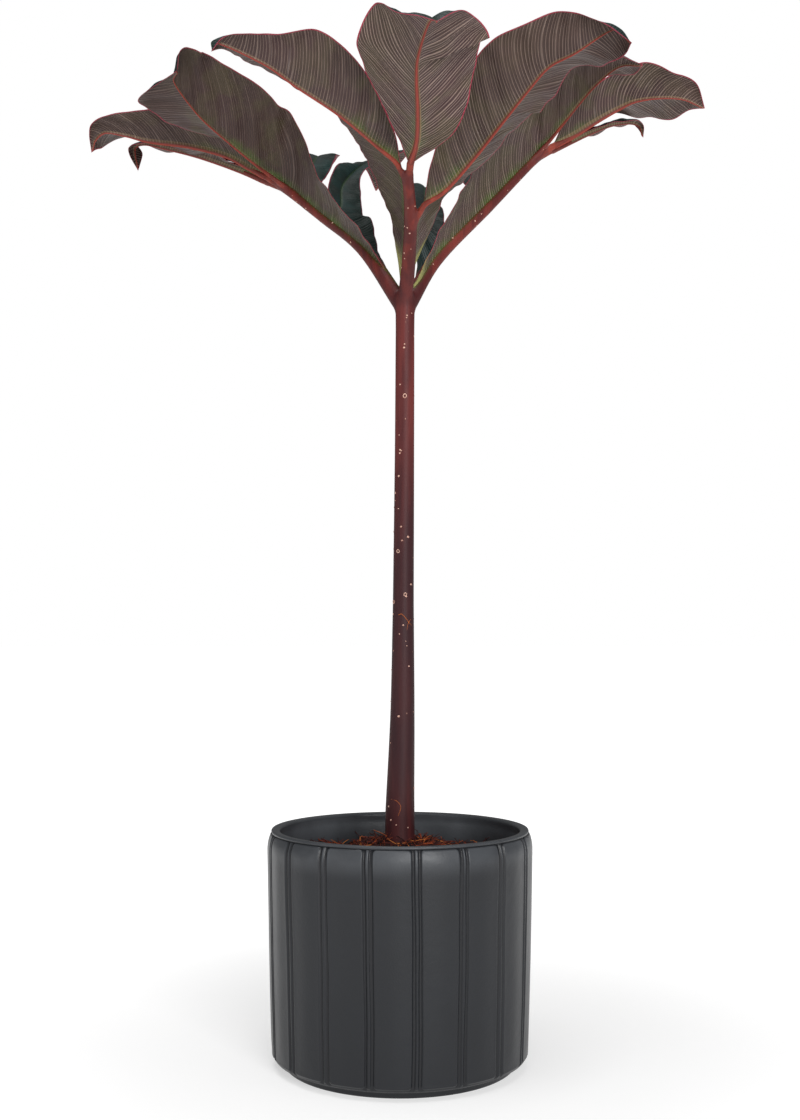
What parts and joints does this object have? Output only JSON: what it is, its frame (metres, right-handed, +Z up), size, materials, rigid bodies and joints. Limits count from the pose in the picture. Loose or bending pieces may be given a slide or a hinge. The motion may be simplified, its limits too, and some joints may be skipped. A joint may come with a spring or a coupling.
{
  "type": "potted amorphophallus atroviridis",
  "caption": "Tall aroid whose single stalk forks into spreading branches of broad wavy leaflets, rooted in coir-mulched soil in a seamed charcoal cover pot.",
  "frame": {"origin": "middle of the pot's flat base, on the floor", "axes": "+Z up along the stalk, -Y towards the side the picture was taken from, +X to the picture's right"},
  "size_m": [0.4448, 0.3893, 0.6954],
  "materials": {
    "pot": "satin",
    "soil": "matte",
    "coir": "matte",
    "tuber": "matte",
    "stalk": "satin",
    "branch": "satin",
    "blade": "satin"
  },
  "bodies": {
    "root": {"pot": "pot", "soil": "soil", "coir_mulch": "coir", "tuber": "tuber", "petiole": "stalk", "left_branch": "branch", "middle_branch": "branch", "right_branch": "branch", "leaflet_front_middle": "blade", "leaflet_front_left": "blade", "leaflet_front_right": "blade", "leaflet_left_near": "blade", "leaflet_left_tip": "blade", "leaflet_left_far": "blade", "leaflet_left_rear": "blade", "leaflet_left_inner": "blade", "leaflet_right_near": "blade", "leaflet_right_tip": "blade", "leaflet_right_far": "blade", "leaflet_right_rear": "blade", "leaflet_right_inner": "blade"}
  },
  "joints": []
}
